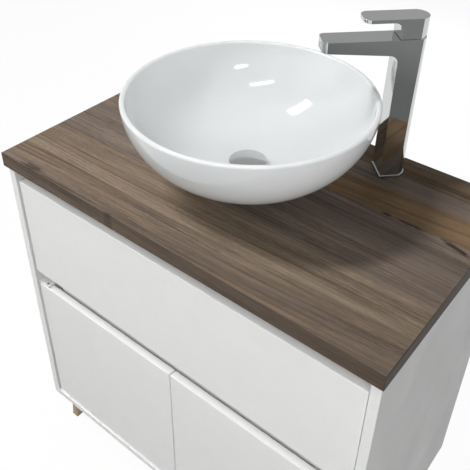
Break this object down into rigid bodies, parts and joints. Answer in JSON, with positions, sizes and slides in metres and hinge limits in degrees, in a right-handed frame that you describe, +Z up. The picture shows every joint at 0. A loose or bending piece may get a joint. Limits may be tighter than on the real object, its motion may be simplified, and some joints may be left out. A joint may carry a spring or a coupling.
{
  "type": "vessel sink on vanity",
  "caption": "Free-standing bathroom vanity with drawer, doors and splayed legs, a wood-look worktop, a round vessel basin and a tall single-lever tap.",
  "frame": {"origin": "floor level, under the middle of the worktop", "axes": "+X to the right, +Y to the wall behind, +Z up; the drawer and doors face -Y"},
  "size_m": [0.8, 0.466, 1.095],
  "materials": {
    "white_board": "matt white foil on particle board",
    "worktop_wood": "grey-brown walnut look, satin",
    "leg_wood": "oiled oak",
    "dowel_wood": "raw beech",
    "zinc_steel": "zinc plated",
    "nylon": "moulded nylon",
    "catch_plastic": "moulded",
    "glazed_white": "white glaze",
    "sealing_rubber": "moulded",
    "chrome": "polished chrome",
    "brass": "machined",
    "pin_steel": "ground",
    "cartridge_plastic": "moulded",
    "aerator_plastic": "chrome plated",
    "trap_plastic": "moulded white"
  },
  "bodies": {
    "vanity": {"side_panel_left": "white_board", "side_panel_right": "white_board", "bottom_panel": "white_board", "front_top_rail": "white_board", "mid_rail": "white_board", "upper_back_rail": "white_board", "lower_back_rail": "white_board", "shelf": "white_board", "worktop": "worktop_wood", "leg_front_left": "leg_wood", "leg_front_right": "leg_wood", "leg_rear_left": "leg_wood", "leg_rear_right": "leg_wood", "carcass_dowels": "dowel_wood", "shelf_pins": "zinc_steel", "leg_plates": "zinc_steel", "pivot_brackets": "zinc_steel", "pivot_pins": "zinc_steel", "runner_outers": "zinc_steel", "tap_stud": "zinc_steel", "tap_washer": "zinc_steel", "leg_glides": "nylon", "door_catch": "catch_plastic", "basin": "glazed_white", "basin_seal": "sealing_rubber", "drain_flange_seal": "sealing_rubber", "drain_washer": "sealing_rubber", "tap_gasket": "sealing_rubber", "drain_body": "chrome", "tap_body": "chrome", "tap_base": "chrome", "drain_nut": "brass", "cartridge_nut": "brass", "tap_nut": "brass", "tap_cartridge": "cartridge_plastic", "aerator": "aerator_plastic", "trap_inlet_tube": "trap_plastic", "trap_body": "trap_plastic", "trap_cup": "trap_plastic", "trap_outlet_pipe": "trap_plastic", "trap_nuts": "trap_plastic"},
    "drawer": {"drawer_front": "white_board", "drawer_side_left": "white_board", "drawer_side_right": "white_board", "drawer_backs": "white_board", "drawer_notch_boards": "white_board", "drawer_bottom": "white_board", "runner_inners": "zinc_steel"},
    "runner_middle": {"runner_middles": "zinc_steel"},
    "left_door": {"door_left": "white_board", "door_bushes_left": "nylon", "door_strike_left": "zinc_steel"},
    "right_door": {"door_right": "white_board", "door_bushes_right": "nylon", "door_strike_right": "zinc_steel"},
    "lever_spindle": {"lever_spindle": "brass", "lever_pin": "pin_steel"},
    "lever": {"lever": "chrome"},
    "press_cap": {"drain_cap": "chrome", "cap_stem": "brass"}
  },
  "joints": [
    {"name": "drawer_slide", "type": "slide", "parent": "vanity", "child": "drawer", "axis": [0, -1, 0], "range_m": [0, 0.35]},
    {"name": "runner_slide", "type": "slide", "parent": "vanity", "child": "runner_middle", "axis": [0, -1, 0], "range_m": [0, 0.175]},
    {"name": "left_door_hinge", "type": "hinge", "parent": "vanity", "child": "left_door", "pos_m": [-0.3573, -0.214, 0.2975], "axis": [0, 0, -1], "range_deg": [0, 105]},
    {"name": "right_door_hinge", "type": "hinge", "parent": "vanity", "child": "right_door", "pos_m": [0.3573, -0.214, 0.2975], "axis": [0, 0, 1], "range_deg": [0, 105]},
    {"name": "lever_swivel", "type": "hinge", "parent": "vanity", "child": "lever_spindle", "pos_m": [0.18399, 0.17494, 1.055], "axis": [0, 0, 1], "range_deg": [-45, 45]},
    {"name": "lever_lift", "type": "hinge", "parent": "lever_spindle", "child": "lever", "pos_m": [0.18859, 0.17953, 1.066], "axis": [-0.7071, 0.7071, 0], "range_deg": [0, 20]},
    {"name": "cap_press", "type": "slide", "parent": "vanity", "child": "press_cap", "axis": [0, 0, -1], "range_m": [0, 0.013]}
  ],
  "couplings": [
    {"joint": "runner_slide", "follows": "drawer_slide", "ratio": 0.5}
  ]
}
